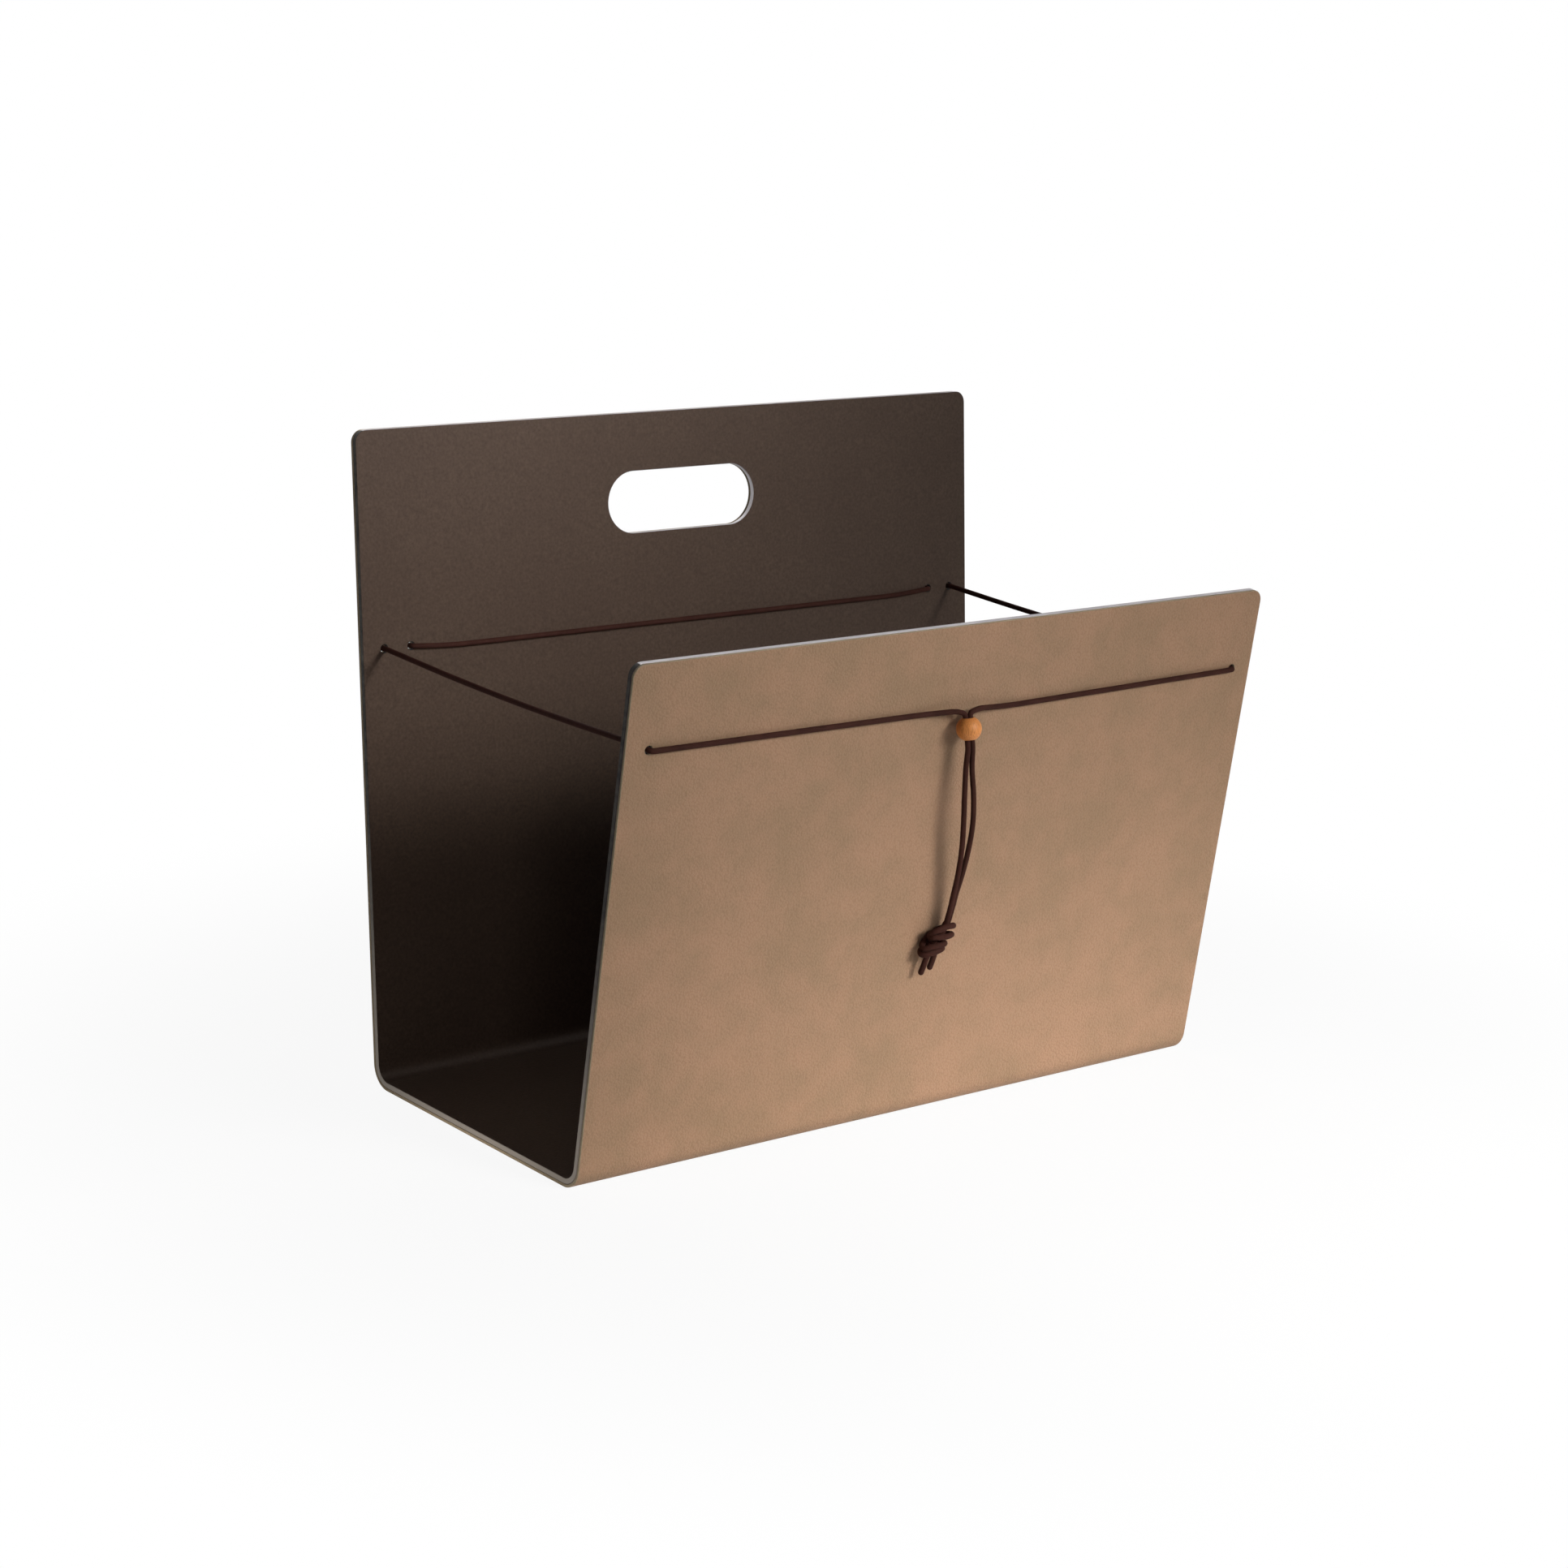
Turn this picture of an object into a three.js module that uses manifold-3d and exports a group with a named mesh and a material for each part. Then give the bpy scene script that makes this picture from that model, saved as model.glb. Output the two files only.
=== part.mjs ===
// Magazine basket: one plate folded into a tall back, a flat base and a lower front,
// covered outside with leather, and laced round the top with one leather cord. The two
// ends of the cord leave through a wooden bead and are tied together in one knot.
// Millimetres, +Z up, -Y is the front, and the basket stands on Z = 0.

import * as THREE from 'three';
import Module from 'manifold-3d';
import { mergeVertices } from 'three/addons/utils/BufferGeometryUtils.js';

const wasm = await Module();
wasm.setup();

// Overall form
const width = 380;
const overallHeight = 317.5;
const frontHeight = 249;
const baseDepth = 172.5;
const backLeanDegrees = 5;
const frontLeanDegrees = 7.5;
const topCornerRadius = 6;

// Build-up of the sheet, from the outside in
const leatherThickness = 1.4;
const glueGap = 0.3;
const plateThickness = 2.5;
const innerBendRadius = 8;

// Hand slot in the back
const slotLength = 91;
const slotHeight = 31;
const slotDrop = 44.7;

// Lacing holes, placed from the side edges and the top edges of their panels
const holeDiameter = 4;
const backHoleInset = 11.8;
const backHoleSpacing = 15;
const backHoleDrop = 104.6;
const frontHoleInset = 12.5;
const frontHoleDrop = 39.7;

// Lacing cord
const cordDiameter = 2.6;
const clearance = 0.3;
const cordHoleTurn = 2.2;
const cordInnerReach = 1.6;
const sideSag = 1.9;
const sideSagEase = 70;
const backRunDroop = 1.6;
const backRunEase = 22;
const frontRunEase = 10;
const frontLeftLead = 22;
const frontLeftDrop = 0.8;
const frontRightLead = 28;
const frontRightDrop = 2.2;

// Bead, placed on the front panel
const beadDiameter = 12;
const beadLength = 9.7;
const beadRimRound = 0.4;
const beadOffCentre = 0.2;
const beadDrop = 48;
const beadStandOff = 7.6;
const beadLeanInDegrees = 7;
const beadLeanLeftDegrees = 6.5;

// Cord over the top of the bead
const beadTopRise = 2.4;
const beadTopEase = 2.3;
const beadShoulderReach = 6.5;
const beadShoulderRise = 8.4;
const beadShoulderOut = 5;
const beadShoulderEase = 3;

// Knot, placed from the bead
const knotOffBead = 2.2;
const knotDrop = 105.5;
const knotCordDiameter = 2.85;

// Numbers of faces
const bendSteps = 12;
const cornerSteps = 8;
const slotSteps = 12;
const holeSides = 20;
const cordSides = 8;
const turnSteps = 4;
const sagSteps = 6;
const tailSteps = 26;
const knotSteps = 72;
const beadSides = 32;
const beadSteps = 14;

const radians = THREE.MathUtils.degToRad;
const backLean = radians(backLeanDegrees);
const frontLean = radians(frontLeanDegrees);
const sheetThickness = leatherThickness + glueGap + plateThickness;
const outerBendRadius = innerBendRadius + sheetThickness;
const cutOverrun = sheetThickness;
const cordRadius = cordDiameter / 2;
const runOut = cordRadius + clearance;
const strandSpacing = cordDiameter + clearance;

// A panel is a leaning plane: its outer face, seen from the foot line on Z = 0. The panel
// gives the way up its slope and the way in through its thickness.
function panel(footY, lean, side, highest) {
  const up = new THREE.Vector3(0, side * Math.sin(lean), Math.cos(lean));
  const inward = new THREE.Vector3(0, -side * Math.cos(lean), Math.sin(lean));
  const length = (highest - sheetThickness * Math.sin(lean)) / Math.cos(lean);
  return { foot: new THREE.Vector3(0, footY, 0), up, inward, length, lean, side };
}

// The front of the bead and the top of the back are the furthest points of the basket,
// and the foot lines are placed so that the two are as far from Y = 0.
const frontPanelLength = panel(0, frontLean, -1, frontHeight).length;
const beadSlope = frontPanelLength - beadDrop;
const beadReach = beadSlope * Math.sin(frontLean) + beadStandOff * Math.cos(frontLean) + beadDiameter / 2;
const backReach = panel(0, backLean, 1, overallHeight).length * Math.sin(backLean);
const footCentre = (beadReach - backReach) / 2;
const back = panel(footCentre + baseDepth / 2, backLean, 1, overallHeight);
const front = panel(footCentre - baseDepth / 2, frontLean, -1, frontHeight);

// A point beside a panel: across it, up its slope, and out from its outer face.
function beside(face, across, upSlope, out) {
  return face.foot.clone()
    .addScaledVector(face.up, upSlope)
    .addScaledVector(face.inward, -out)
    .add(new THREE.Vector3(across, 0, 0));
}

function solidOf(geometry) {
  const bare = geometry.clone();
  bare.deleteAttribute('normal');
  bare.deleteAttribute('uv');
  const merged = mergeVertices(bare);
  const vertProperties = new Float32Array(merged.attributes.position.array);
  const triVerts = new Uint32Array(merged.index.array);
  return new wasm.Manifold(new wasm.Mesh({ numProp: 3, vertProperties, triVerts }));
}

function geometryOf(solid) {
  const mesh = solid.getMesh();
  const geometry = new THREE.BufferGeometry();
  geometry.setAttribute('position', new THREE.BufferAttribute(mesh.vertProperties, 3));
  geometry.setIndex(new THREE.BufferAttribute(mesh.triVerts, 1));
  const faceted = geometry.toNonIndexed();
  faceted.computeVertexNormals();
  return faceted;
}

// Sheet: a layer of the folded profile, drawn in the Y-Z plane and extruded along X
function bendCentre(face) {
  const across = -face.side * outerBendRadius * (1 - Math.sin(face.lean)) / Math.cos(face.lean);
  return new THREE.Vector2(face.foot.y + across, outerBendRadius);
}

function layerSolid(outerOffset, thickness) {
  const innerOffset = outerOffset + thickness;
  const frontBend = bendCentre(front);
  const backBend = bendCentre(back);
  const down = -Math.PI / 2;
  const frontFacing = -Math.PI + front.lean;
  const backFacing = -back.lean;
  const frontTop = (offset) => beside(front, 0, front.length, -offset);
  const backTop = (offset) => beside(back, 0, back.length, -offset);
  const outline = new THREE.Shape();
  outline.moveTo(frontTop(outerOffset).y, frontTop(outerOffset).z);
  outline.absarc(frontBend.x, frontBend.y, outerBendRadius - outerOffset, frontFacing, down, false);
  outline.absarc(backBend.x, backBend.y, outerBendRadius - outerOffset, down, backFacing, false);
  outline.lineTo(backTop(outerOffset).y, backTop(outerOffset).z);
  outline.lineTo(backTop(innerOffset).y, backTop(innerOffset).z);
  outline.absarc(backBend.x, backBend.y, outerBendRadius - innerOffset, backFacing, down, true);
  outline.absarc(frontBend.x, frontBend.y, outerBendRadius - innerOffset, down, frontFacing, true);
  outline.lineTo(frontTop(innerOffset).y, frontTop(innerOffset).z);
  outline.closePath();
  const settings = { depth: width, bevelEnabled: false, curveSegments: bendSteps };
  const geometry = new THREE.ExtrudeGeometry(outline, settings);
  geometry.translate(0, 0, -width / 2);
  const alongX = new THREE.Matrix4().makeBasis(
    new THREE.Vector3(0, 1, 0),
    new THREE.Vector3(0, 0, 1),
    new THREE.Vector3(1, 0, 0),
  );
  return solidOf(geometry.applyMatrix4(alongX));
}

// Cutters: outlines drawn on a panel (across it and up its slope), taken right through it
function throughPanel(face, outline, curveSegments) {
  const depth = sheetThickness + 2 * cutOverrun;
  const settings = { depth, bevelEnabled: false, curveSegments };
  const geometry = new THREE.ExtrudeGeometry(outline, settings);
  const right = new THREE.Vector3().crossVectors(face.up, face.inward);
  const placed = new THREE.Matrix4().makeBasis(right, face.up, face.inward);
  placed.setPosition(beside(face, 0, 0, cutOverrun));
  return solidOf(geometry.applyMatrix4(placed));
}

function cornerCutters(face) {
  return [-1, 1].map((hand) => {
    const edge = hand * width / 2;
    const centre = edge - hand * topCornerRadius;
    const low = face.length - topCornerRadius;
    const outline = new THREE.Shape();
    outline.moveTo(edge, low);
    outline.lineTo(edge + hand * cutOverrun, low);
    outline.lineTo(edge + hand * cutOverrun, face.length + cutOverrun);
    outline.lineTo(centre, face.length + cutOverrun);
    outline.lineTo(centre, face.length);
    outline.absarc(centre, low, topCornerRadius, Math.PI / 2, hand > 0 ? 0 : Math.PI, hand > 0);
    return throughPanel(face, outline, cornerSteps);
  });
}

function slotCutter() {
  const end = slotHeight / 2;
  const reach = slotLength / 2 - end;
  const upSlope = back.length - slotDrop;
  const outline = new THREE.Shape();
  outline.absarc(reach, upSlope, end, -Math.PI / 2, Math.PI / 2, false);
  outline.absarc(-reach, upSlope, end, Math.PI / 2, Math.PI * 3 / 2, false);
  outline.closePath();
  return throughPanel(back, outline, slotSteps);
}

function roundSection(radius, sides) {
  const points = [];
  for (let k = 0; k < sides; k += 1) {
    const angle = (k + 0.5) / sides * 2 * Math.PI;
    points.push(new THREE.Vector2(radius * Math.cos(angle), radius * Math.sin(angle)));
  }
  return new THREE.Shape(points);
}

function holeCutter(face, across, upSlope) {
  const outline = roundSection(holeDiameter / 2, holeSides);
  const cutter = throughPanel(face, outline, 1);
  return cutter.translate(beside(face, across, upSlope, 0).sub(face.foot).toArray());
}

const backHoleSlope = back.length - backHoleDrop;
const frontHoleSlope = front.length - frontHoleDrop;
const backOuterHole = width / 2 - backHoleInset;
const backInnerHole = backOuterHole - backHoleSpacing;
const frontHole = width / 2 - frontHoleInset;

const cutters = [
  ...cornerCutters(back),
  ...cornerCutters(front),
  slotCutter(),
  ...[-backOuterHole, -backInnerHole, backInnerHole, backOuterHole].map(
    (across) => holeCutter(back, across, backHoleSlope),
  ),
  ...[-frontHole, frontHole].map((across) => holeCutter(front, across, frontHoleSlope)),
];

function sheetLayer(outerOffset, thickness) {
  return geometryOf(cutters.reduce(
    (solid, cutter) => solid.subtract(cutter),
    layerSolid(outerOffset, thickness),
  ));
}

// Cord route: straight stretches with their corners eased, stepped closely only in the bends
class EasedRoute extends THREE.Curve {
  constructor(stations) {
    super();
    this.stretches = [];
    let from = stations[0].at;
    for (let k = 1; k < stations.length - 1; k += 1) {
      const { at, ease, steps = turnSteps } = stations[k];
      const before = at.clone().sub(stations[k - 1].at).setLength(ease);
      const after = stations[k + 1].at.clone().sub(at).setLength(ease);
      const start = at.clone().sub(before);
      const end = at.clone().add(after);
      this.stretches.push({ curve: new THREE.LineCurve3(from, start), steps: 1 });
      this.stretches.push({ curve: new THREE.QuadraticBezierCurve3(start, at, end), steps });
      from = end;
    }
    this.stretches.push({ curve: new THREE.LineCurve3(from, stations.at(-1).at), steps: 1 });
    this.steps = this.stretches.reduce((sum, stretch) => sum + stretch.steps, 0);
  }

  locate(share) {
    let step = share * this.steps;
    for (const stretch of this.stretches) {
      if (step <= stretch.steps) return [stretch.curve, step / stretch.steps];
      step -= stretch.steps;
    }
    return [this.stretches.at(-1).curve, 1];
  }

  getPoint(share) {
    const [curve, local] = this.locate(share);
    return curve.getPoint(local);
  }

  getPointAt(share) {
    return this.getPoint(share);
  }

  getTangentAt(share) {
    const [curve, local] = this.locate(share);
    return curve.getTangent(local);
  }
}

function tube(path, steps, radius) {
  const section = roundSection(radius, cordSides);
  return new THREE.ExtrudeGeometry(section, { extrudePath: path, steps });
}

// Bead: it slides on the two strands, from the front run down to the knot. Where the strands
// leave the front run, they hold it leaning a little in and to the left.
const beadCentre = beside(front, beadOffCentre, beadSlope, beadStandOff);
const across = new THREE.Vector3(1, 0, 0);
const beadUp = front.up.clone()
  .addScaledVector(front.inward, Math.tan(radians(beadLeanInDegrees)))
  .addScaledVector(across, -Math.tan(radians(beadLeanLeftDegrees)))
  .normalize();
const beadSide = across.clone().addScaledVector(beadUp, -across.dot(beadUp)).normalize();
const beadBoreRadius = strandSpacing / 2 + cordRadius + clearance;

function beadGeometry() {
  const rim = beadBoreRadius + beadRimRound;
  const half = beadLength / 2;
  const bulge = half / Math.sqrt(1 - (2 * rim / beadDiameter) ** 2);
  const lowAngle = Math.asin(half / bulge);
  const points = [new THREE.Vector2(beadBoreRadius, beadRimRound - half)];
  for (let k = 0; k <= beadSteps; k += 1) {
    const angle = lowAngle * (2 * k / beadSteps - 1);
    points.push(new THREE.Vector2(beadDiameter / 2 * Math.cos(angle), bulge * Math.sin(angle)));
  }
  points.push(new THREE.Vector2(beadBoreRadius, half - beadRimRound));
  points.push(points[0].clone());
  const geometry = new THREE.LatheGeometry(points, beadSides);
  const turn = new THREE.Quaternion().setFromUnitVectors(new THREE.Vector3(0, 1, 0), beadUp);
  geometry.applyQuaternion(turn);
  return geometry.translate(...beadCentre.toArray());
}

function inBore(side, along) {
  return beadCentre.clone()
    .addScaledVector(beadUp, along)
    .addScaledVector(beadSide, side * strandSpacing / 2);
}

// Lacing cord: out of the bead to a front hole, back along the side to the outer back hole,
// one short stitch outside the back, then along its inner face, and the same on the right.
function lacingStations(side, lead, drop) {
  const half = beadLength / 2;
  const shoulder = beadSlope + beadShoulderRise;
  const leadOver = frontHoleSlope - drop;
  const inFront = -sheetThickness - cordInnerReach;
  const frontInside = beside(front, side * frontHole, frontHoleSlope, inFront);
  const backInside = beside(back, side * backOuterHole, backHoleSlope, inFront);
  const sagging = frontInside.clone().add(backInside).multiplyScalar(0.5);
  sagging.z -= sideSag / (1 - sideSagEase / frontInside.distanceTo(backInside));
  const overBead = beadOffCentre + side * beadShoulderReach;
  return [
    { at: inBore(side, -half), ease: 0 },
    { at: inBore(side, half + beadTopRise), ease: beadTopEase },
    { at: beside(front, overBead, shoulder, beadShoulderOut), ease: beadShoulderEase },
    { at: beside(front, side * lead, leadOver, runOut), ease: frontRunEase },
    { at: beside(front, side * frontHole, frontHoleSlope, runOut), ease: cordHoleTurn },
    { at: frontInside, ease: cordInnerReach },
    { at: sagging, ease: sideSagEase, steps: sagSteps },
    { at: backInside, ease: cordInnerReach },
    { at: beside(back, side * backOuterHole, backHoleSlope, runOut), ease: cordHoleTurn },
    { at: beside(back, side * backInnerHole, backHoleSlope, runOut), ease: cordHoleTurn },
    {
      at: beside(back, side * backInnerHole, backHoleSlope, -sheetThickness - runOut),
      ease: cordHoleTurn,
    },
    {
      at: beside(
        back,
        side * (backInnerHole - backRunEase),
        backHoleSlope - backRunDroop,
        -sheetThickness - runOut,
      ),
      ease: backRunEase / 2,
    },
  ];
}

const lacingRoute = new EasedRoute([
  ...lacingStations(-1, frontLeftLead, frontLeftDrop),
  ...lacingStations(1, frontRightLead, frontRightDrop).reverse(),
]);

// Tails and knot: the two strands below the bead. Their places are given from the bead:
// across the front panel, down its slope, and out from the leather.
function belowBead(acrossBead, down, out) {
  return beside(front, beadOffCentre + acrossBead, beadSlope - down, out);
}

function inKnot(acrossKnot, up, out) {
  return belowBead(knotOffBead + acrossKnot, knotDrop - up, out);
}

const leftTailPlaces = [
  [-0.6, 18.6, 10.2],
  [-0.2, 32.6, 11.7],
  [1.2, 45.6, 12.2],
  [2.9, 59.6, 11.8],
  [4.1, 72.6, 10.4],
  [4.4, 83.6, 9],
  [4.5, 91.6, 8.1],
  [4.3, 97.6, 7.2],
];
const rightTailPlaces = [
  [2.8, 18.6, 10.6],
  [4.3, 32.6, 13],
  [5.3, 45.6, 14],
  [6.3, 59.6, 12.6],
  [7.6, 72.6, 9.6],
  [7.6, 83.6, 7.4],
  [7.5, 91.6, 6.3],
  [7.3, 97.6, 5.4],
];
const tailStraight = 3;

// In the knot both strands go down its middle, come round to the front twice and round
// behind in between, and then leave down the middle. Places are given from its centre.
const leftStrandPlaces = [
  [1.2, 4.4, 6.6],
  [-0.2, 0.9, 6.2],
  [-0.4, -2, 5],
  [1.4, -3.6, 4.4],
  [2.8, -3.2, 6.4],
  [1.4, -2.6, 8.8],
  [-2.4, -2.6, 9.6],
  [-6.6, -3.2, 9],
  [-9, -4.6, 6.4],
  [-7.4, -4.2, 3],
  [-2.4, -0.6, 1.9],
  [3.2, 2.4, 2.4],
  [7, 4.5, 5.8],
  [5.2, 6, 8.8],
  [-0.3, 6.4, 9.8],
  [-4.3, 5.2, 9.2],
  [-5.9, 3.2, 7],
  [-5, 1, 4.6],
  [-3.6, -1.6, 4.2],
  [-4.4, -5.4, 4.8],
  [-5.3, -8, 5.6],
  [-6.4, -13, 5.4],
  [-7.4, -17.6, 5],
];
const rightStrandPlaces = [
  [4.2, 4.4, 5],
  [2.4, 0.9, 4.6],
  [1.2, -2, 3.6],
  [1.8, -5.4, 3.4],
  [2.4, -5.8, 6],
  [0.2, -5.2, 8.6],
  [-3.9, -5.7, 9.4],
  [-7.5, -6.6, 8.6],
  [-9.4, -7.7, 6],
  [-8.2, -7.2, 3.2],
  [-3.9, -5, 1.9],
  [1.6, -1.8, 2],
  [6.4, 0, 4.6],
  [6, 1, 7.8],
  [0.8, 1.4, 9.8],
  [-3.4, 1.7, 9.8],
  [-5.6, 1.2, 8],
  [-4.6, -0.4, 5.4],
  [-2.4, -2.8, 6.2],
  [-1.2, -5.6, 5.8],
  [-0.9, -8.6, 5.4],
  [-1.6, -12.6, 5.2],
  [-2.3, -15.7, 5],
];

function smoothRoute(points) {
  return new THREE.CatmullRomCurve3(points, false, 'centripetal');
}

function tailRoute(side, places) {
  const low = -beadLength / 2 - clearance;
  return smoothRoute([
    inBore(side, low),
    inBore(side, low - tailStraight),
    ...places.map((place) => belowBead(...place)),
  ]);
}

function knotRoute(tail, places) {
  const met = tail.getPointAt(1).addScaledVector(tail.getTangentAt(1), clearance);
  return smoothRoute([met, ...places.map((place) => inKnot(...place))]);
}

const leftTail = tailRoute(-1, leftTailPlaces);
const rightTail = tailRoute(1, rightTailPlaces);

// The strands press into each other in the knot, so they are one solid. Its largest shell
// is the outside of the knot: the small hollows between the strands are closed up.
function knotGeometry() {
  const strand = (tail, places) => {
    return solidOf(tube(knotRoute(tail, places), knotSteps, knotCordDiameter / 2));
  };
  const left = strand(leftTail, leftStrandPlaces);
  const right = strand(rightTail, rightStrandPlaces);
  const shells = left.add(right).decompose();
  shells.sort((one, other) => other.volume() - one.volume());
  return geometryOf(shells[0]);
}

// Object
function piece(name, geometry, color, roughness, metalness) {
  const material = new THREE.MeshStandardMaterial({ color, roughness, metalness });
  const mesh = new THREE.Mesh(geometry, material);
  mesh.name = name;
  return mesh;
}

const leatherColor = 0x93775c;
const plateColor = 0x4f4540;
const cordColor = 0x3a2524;
const beadColor = 0xc88848;

const basket = new THREE.Group();
basket.add(
  piece('leather_cover', sheetLayer(0, leatherThickness), leatherColor, 0.65, 0),
  piece('plate', sheetLayer(leatherThickness + glueGap, plateThickness), plateColor, 0.5, 0.3),
  piece('lacing_cord', tube(lacingRoute, lacingRoute.steps, cordRadius), cordColor, 0.45, 0),
  piece('bead', beadGeometry(), beadColor, 0.4, 0),
  piece('tail_left', tube(leftTail, tailSteps, cordRadius), cordColor, 0.45, 0),
  piece('tail_right', tube(rightTail, tailSteps, cordRadius), cordColor, 0.45, 0),
  piece('knot', knotGeometry(), cordColor, 0.45, 0),
);

export default basket;
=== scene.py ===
# Magazine basket: an aluminium plate folded into back, base and front, covered outside with
# tan bonded leather, and laced round the top with one dark leather cord. The cord's two ends
# leave the front through a wooden bead and are tied together in one knot.

import math

import bmesh
import bpy
from mathutils import Matrix, Vector


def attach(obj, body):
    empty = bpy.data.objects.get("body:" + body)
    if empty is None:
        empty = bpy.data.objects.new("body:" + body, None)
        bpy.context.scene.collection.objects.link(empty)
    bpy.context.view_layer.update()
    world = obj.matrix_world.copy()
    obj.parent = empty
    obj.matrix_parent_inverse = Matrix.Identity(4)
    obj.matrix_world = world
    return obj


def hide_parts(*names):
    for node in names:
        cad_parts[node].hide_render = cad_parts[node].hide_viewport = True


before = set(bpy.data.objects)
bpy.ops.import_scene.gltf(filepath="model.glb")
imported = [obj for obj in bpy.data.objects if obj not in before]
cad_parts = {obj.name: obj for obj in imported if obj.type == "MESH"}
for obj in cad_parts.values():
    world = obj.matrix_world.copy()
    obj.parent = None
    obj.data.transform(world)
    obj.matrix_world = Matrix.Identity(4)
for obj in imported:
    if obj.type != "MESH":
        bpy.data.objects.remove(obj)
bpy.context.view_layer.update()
scene = bpy.context.scene
scene.view_settings.view_transform = "Standard"


# Camera: it stands where the photograph was taken from, to the left of the basket's front
# and a little above its rim, with a long lens.
camera_place = (-1.005161, -1.2342, 0.546924)
degrees_right = 38.708
degrees_down = 14.079
degrees_tilted = 2.339
camera_data = bpy.data.cameras.new("camera")
camera_data.lens = 76.83
camera_data.sensor_width = 36
camera_data.clip_start = 0.05
camera = bpy.data.objects.new("camera", camera_data)
scene.collection.objects.link(camera)
camera_yaw = Matrix.Rotation(math.radians(-degrees_right), 4, "Z")
camera_pitch = Matrix.Rotation(math.radians(90 - degrees_down), 4, "X")
camera_roll = Matrix.Rotation(math.radians(degrees_tilted), 4, "Z")
camera.matrix_world = Matrix.Translation(camera_place) @ camera_yaw @ camera_pitch @ camera_roll
scene.camera = camera


# Plate: 2.5 mm aluminium sheet, cut out flat with its rounded corners, hand slot and lacing
# holes, and then bent twice on a press brake. The inner face has a dark brown textured
# coating, and the cut edges are bare metal.
MM = 0.001
sheet_width = 380 * MM
leather_thickness = 1.4 * MM
glue_gap = 0.3 * MM
plate_thickness = 2.5 * MM
inner_bend_radius = 8 * MM
back_height = 317.5 * MM
front_height = 249 * MM
back_foot = 92.367 * MM
front_foot = -80.133 * MM
back_lean = math.radians(5)
front_lean = math.radians(7.5)
corner_radius = 6 * MM
slot_length = 91 * MM
slot_height = 31 * MM
slot_drop = 44.7 * MM
hole_radius = 2 * MM
back_outer_hole = 178.2 * MM
back_inner_hole = 163.2 * MM
back_hole_drop = 104.6 * MM
front_hole = 177.5 * MM
front_hole_drop = 39.7 * MM
broken_edge = 0.25 * MM
sheet_thickness = leather_thickness + glue_gap + plate_thickness
outer_bend_radius = inner_bend_radius + sheet_thickness


class Panel:
    # A leaning wall, by the foot line of its outer face on the floor. side is 1 for the back
    # and -1 for the front.
    def __init__(self, side, foot, lean, highest):
        self.side = side
        self.foot = foot
        self.sine = math.sin(lean)
        self.cosine = math.cos(lean)
        self.length = (highest - sheet_thickness * self.sine) / self.cosine
        self.turn = math.pi / 2 - lean
        self.tangent = outer_bend_radius * math.tan(self.turn / 2)

    # A point across the wall, up its slope, and out from its outer face.
    def beside(self, across, up_slope, out):
        y = self.foot + self.side * (up_slope * self.sine + out * self.cosine)
        return Vector((across, y, up_slope * self.cosine - out * self.sine))

    # How far a place up the slope lies from the middle of the base in the flat sheet.
    def along(self, up_slope):
        straight = up_slope - self.tangent
        return self.side * (base_half + outer_bend_radius * self.turn + straight)


back = Panel(1, back_foot, back_lean, back_height)
front = Panel(-1, front_foot, front_lean, front_height)
base_half = (back.foot - back.tangent - front.foot - front.tangent) / 2
base_middle = (back.foot - back.tangent + front.foot + front.tangent) / 2


def fold(flat):
    # Where a point of the flat sheet comes to lie once both walls are bent up.
    panel = back if flat.y > 0 else front
    past = max(abs(flat.y) - base_half, 0)
    turned = min(past / outer_bend_radius, panel.turn)
    straight = past - outer_bend_radius * turned
    radius = outer_bend_radius - flat.z
    reach = min(abs(flat.y), base_half)
    reach += radius * math.sin(turned) + straight * math.cos(turned)
    rise = outer_bend_radius - radius * math.cos(turned) + straight * math.sin(turned)
    return Vector((flat.x, base_middle + panel.side * reach, rise))


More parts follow.
